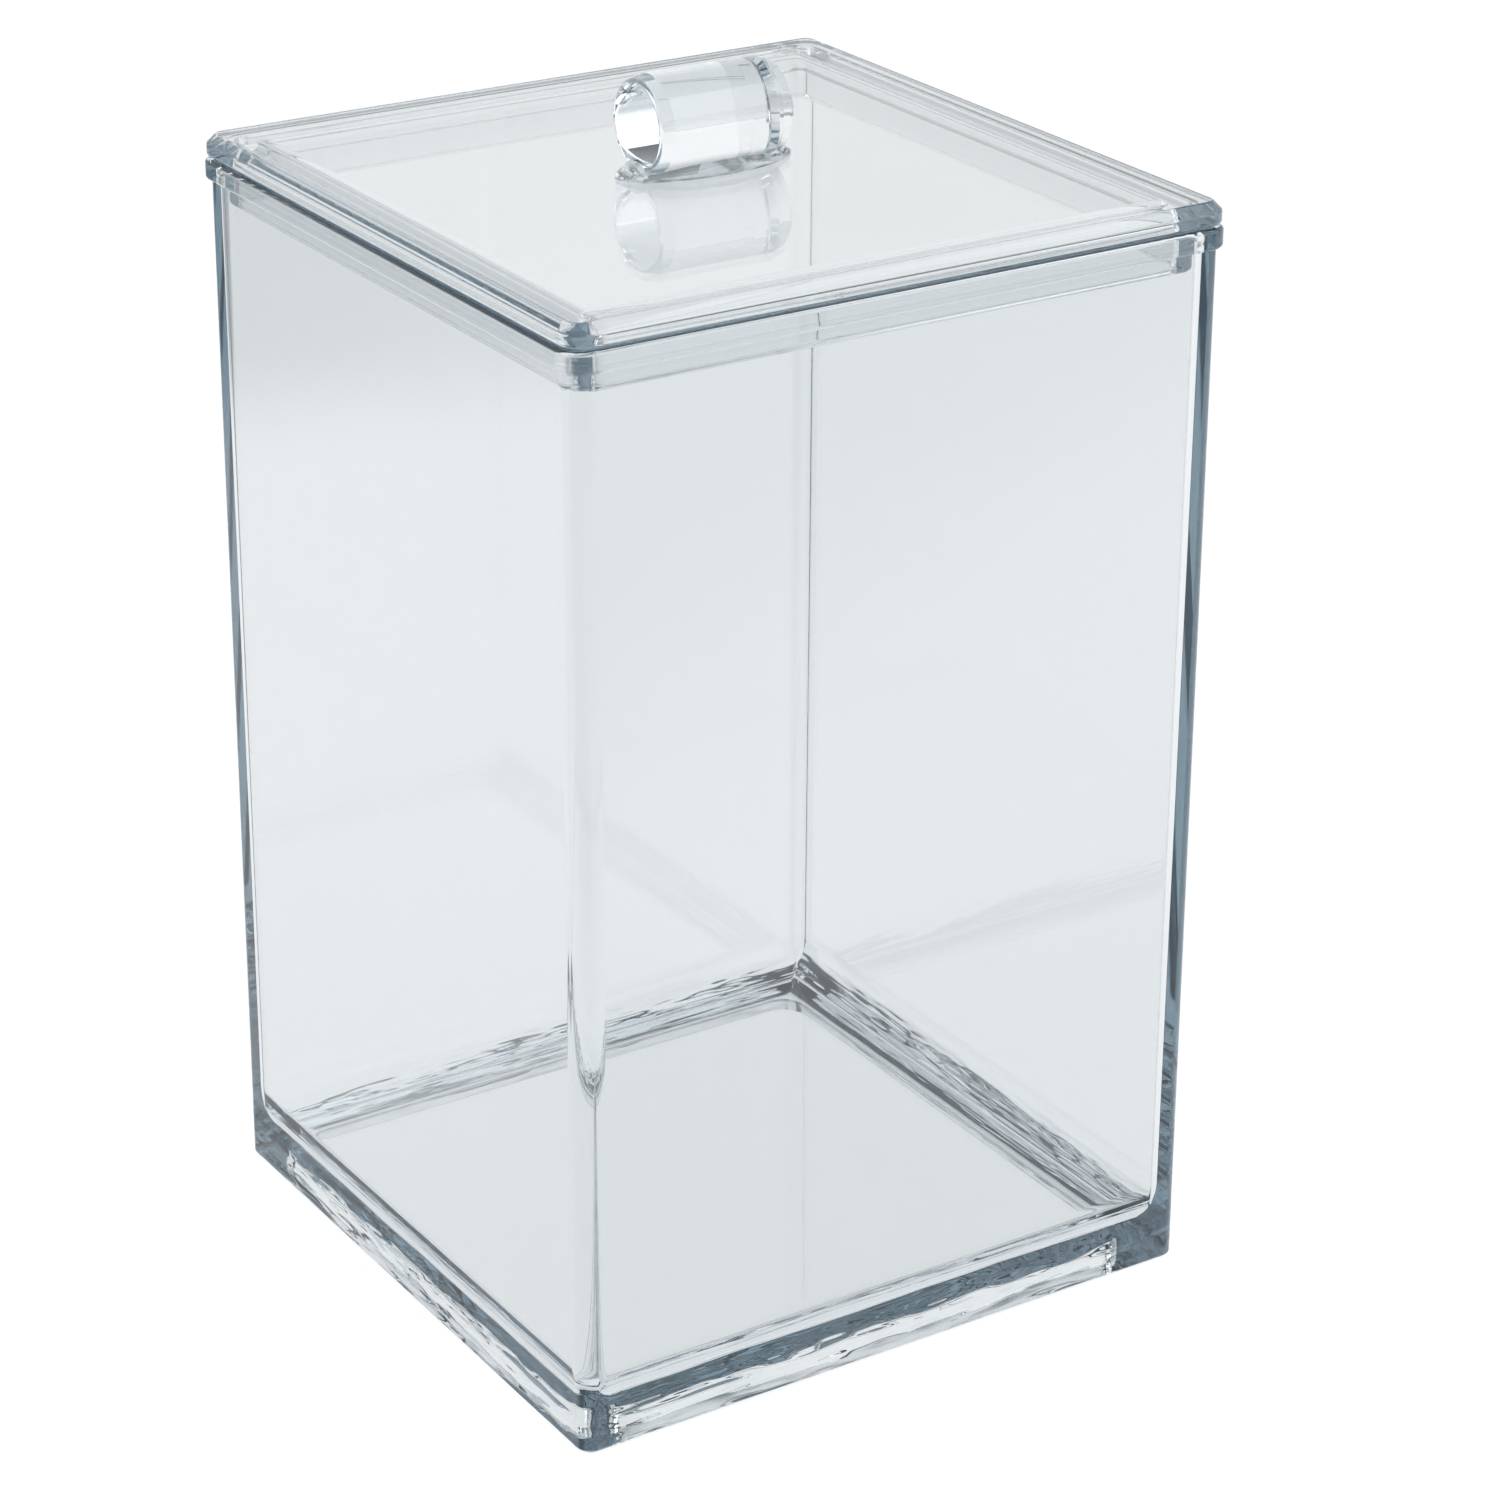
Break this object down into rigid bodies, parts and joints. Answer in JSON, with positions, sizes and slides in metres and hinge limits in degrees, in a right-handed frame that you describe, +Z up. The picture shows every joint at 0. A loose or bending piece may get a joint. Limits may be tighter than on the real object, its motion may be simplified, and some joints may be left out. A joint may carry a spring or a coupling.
{
  "type": "lidded square canister",
  "caption": "Tall square clear canister for sweets, with a rimmed mouth and a lift-off lid that has a bar handle on an oval saddle.",
  "frame": {"origin": "centre of the bin's footprint, on the surface that it stands on", "axes": "+Z up; +X along the handle bar; the part is the same seen from -Y and +Y, and from -X and +X"},
  "size_m": [0.114, 0.114, 0.1946],
  "materials": {
    "clear_bin": "clear, polished, with a faint cool tint at the edges",
    "clear_lid": "clear, polished, with a faint cool tint at the edges",
    "clear_handle": "clear, polished, solid"
  },
  "bodies": {
    "bin": {"bin": "clear_bin"},
    "lid": {"lid": "clear_lid", "handle_saddle": "clear_handle", "handle_bar": "clear_handle"}
  },
  "joints": [
    {"name": "lid_lift", "type": "slide", "parent": "bin", "child": "lid", "axis": [0, 0, 1], "range_m": [0, 0.08]}
  ]
}
